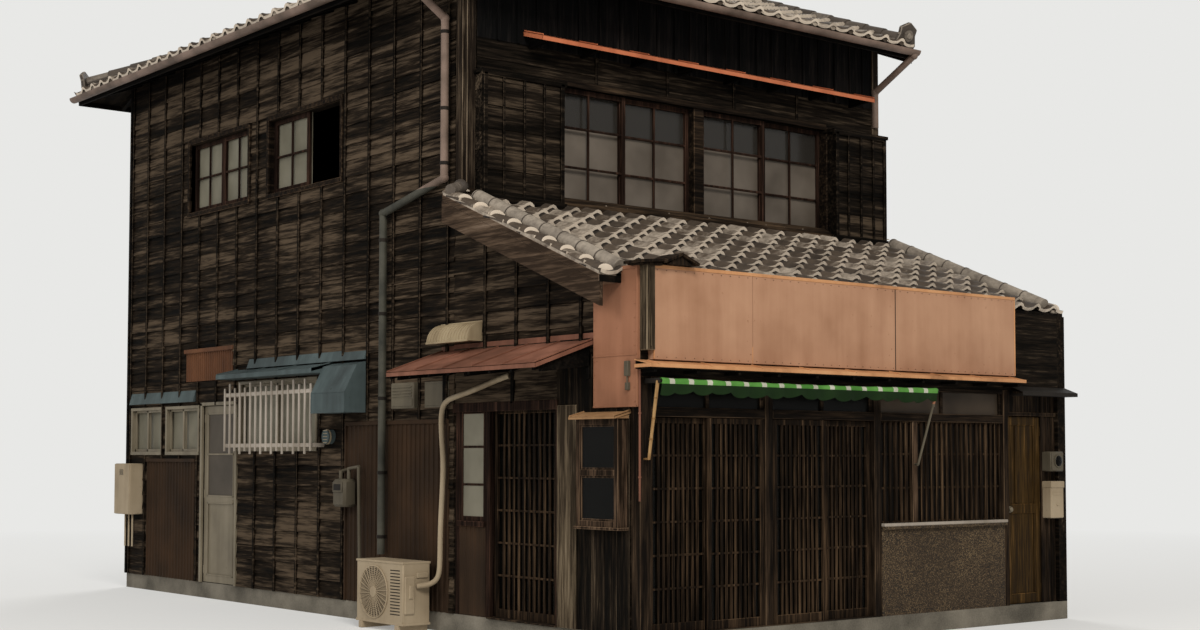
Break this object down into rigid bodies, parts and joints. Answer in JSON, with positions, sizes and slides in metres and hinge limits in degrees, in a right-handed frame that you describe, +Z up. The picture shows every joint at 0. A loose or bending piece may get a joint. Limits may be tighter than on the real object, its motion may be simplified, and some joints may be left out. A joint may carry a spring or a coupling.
{
  "type": "townhouse",
  "caption": "Two-storey timber townhouse with a lattice shop front, a bare copper sign board, tiled pent and hipped roofs and a boarded side wall.",
  "frame": {"origin": "the left front corner of the walls at ground level", "axes": "+X runs right along the shop front, +Y runs back from it, +Z is up"},
  "size_m": [6.314, 10.387, 7.8142],
  "materials": {
    "foundation": "cast concrete",
    "upper_floor": "plain boards",
    "front_posts": "weathered timber",
    "front_rails": "weathered timber",
    "wainscot": "rough exposed-aggregate concrete",
    "shop_lattice": "weathered timber",
    "front_door_1": "weathered timber",
    "front_door_2": "weathered timber",
    "front_door_3": "weathered timber",
    "front_door_4": "weathered timber",
    "sign_board": "dull copper sheet",
    "sign_post": "weathered grey timber",
    "sign_ledge": "dull copper sheet",
    "awning": "rolled striped cloth on metal arms",
    "wall_heads": "dark boards",
    "left_wall_lower": "dark boards",
    "gable_walls": "dark boards",
    "left_wall_upper": "dark boards",
    "party_wall": "dark boards",
    "back_wall": "dark boards",
    "upper_front_wall": "dark boards",
    "shutter_boxes": "dark boards",
    "wooden_sashes": "reddish timber",
    "front_glass": "frosted glass",
    "side_glass": "frosted glass",
    "window_hood": "copper sheet",
    "pent_roof": "fired clay tiles",
    "pent_boards": "weathered timber",
    "main_roof": "fired clay tiles",
    "roof_ridges": "fired clay tiles",
    "eave_rafters": "weathered timber",
    "gutters": "faded paint on sheet metal",
    "side_canopy": "dull copper sheet",
    "side_frame": "weathered timber",
    "side_door": "weathered timber",
    "showcase": "weathered timber with a sheet roof",
    "metal_windows": "anodised",
    "tin_covers": "faded paint on sheet metal",
    "lamp_hood": "faded pale paint on sheet metal",
    "back_door": "anodised",
    "ribbed_sheets": "dull brown paint",
    "ac_unit": "pale enamel",
    "wall_boxes": "pale enamel",
    "end_frame": "weathered timber",
    "end_door": "worn varnish"
  },
  "bodies": {
    "house": {"foundation": "foundation", "upper_floor": "upper_floor", "front_posts": "front_posts", "front_rails": "front_rails", "wainscot": "wainscot", "shop_lattice": "shop_lattice", "sign_board": "sign_board", "sign_post": "sign_post", "sign_ledge": "sign_ledge", "awning": "awning", "wall_heads": "wall_heads", "left_wall_lower": "left_wall_lower", "gable_walls": "gable_walls", "left_wall_upper": "left_wall_upper", "party_wall": "party_wall", "back_wall": "back_wall", "upper_front_wall": "upper_front_wall", "shutter_boxes": "shutter_boxes", "wooden_sashes": "wooden_sashes", "front_glass": "front_glass", "side_glass": "side_glass", "window_hood": "window_hood", "pent_roof": "pent_roof", "pent_boards": "pent_boards", "main_roof": "main_roof", "roof_ridges": "roof_ridges", "eave_rafters": "eave_rafters", "gutters": "gutters", "side_canopy": "side_canopy", "side_frame": "side_frame", "showcase": "showcase", "metal_windows": "metal_windows", "tin_covers": "tin_covers", "lamp_hood": "lamp_hood", "ribbed_sheets": "ribbed_sheets", "ac_unit": "ac_unit", "wall_boxes": "wall_boxes", "end_frame": "end_frame"},
    "front_door_1": {"front_door_1": "front_door_1"},
    "front_door_2": {"front_door_2": "front_door_2"},
    "front_door_3": {"front_door_3": "front_door_3"},
    "front_door_4": {"front_door_4": "front_door_4"},
    "side_door": {"side_door": "side_door"},
    "back_door": {"back_door": "back_door"},
    "end_door": {"end_door": "end_door"}
  },
  "joints": [
    {"name": "front_door_1_slide", "type": "slide", "parent": "house", "child": "front_door_1", "axis": [1, 0, 0], "range_m": [0, 0.5875]},
    {"name": "front_door_2_slide", "type": "slide", "parent": "house", "child": "front_door_2", "axis": [-1, 0, 0], "range_m": [0, 0.5875]},
    {"name": "front_door_3_slide", "type": "slide", "parent": "house", "child": "front_door_3", "axis": [1, 0, 0], "range_m": [0, 0.5875]},
    {"name": "front_door_4_slide", "type": "slide", "parent": "house", "child": "front_door_4", "axis": [-1, 0, 0], "range_m": [0, 0.5875]},
    {"name": "side_door_slide", "type": "slide", "parent": "house", "child": "side_door", "axis": [0, -1, 0], "range_m": [0, 0.898]},
    {"name": "back_door_hinge", "type": "hinge", "parent": "house", "child": "back_door", "pos_m": [0.008, 7.517, 1.15], "axis": [0, 0, -1], "range_deg": [0, 95]},
    {"name": "end_door_hinge", "type": "hinge", "parent": "house", "child": "end_door", "pos_m": [5.101, 0.048, 1.06], "axis": [0, 0, 1], "range_deg": [0, 85]}
  ]
}
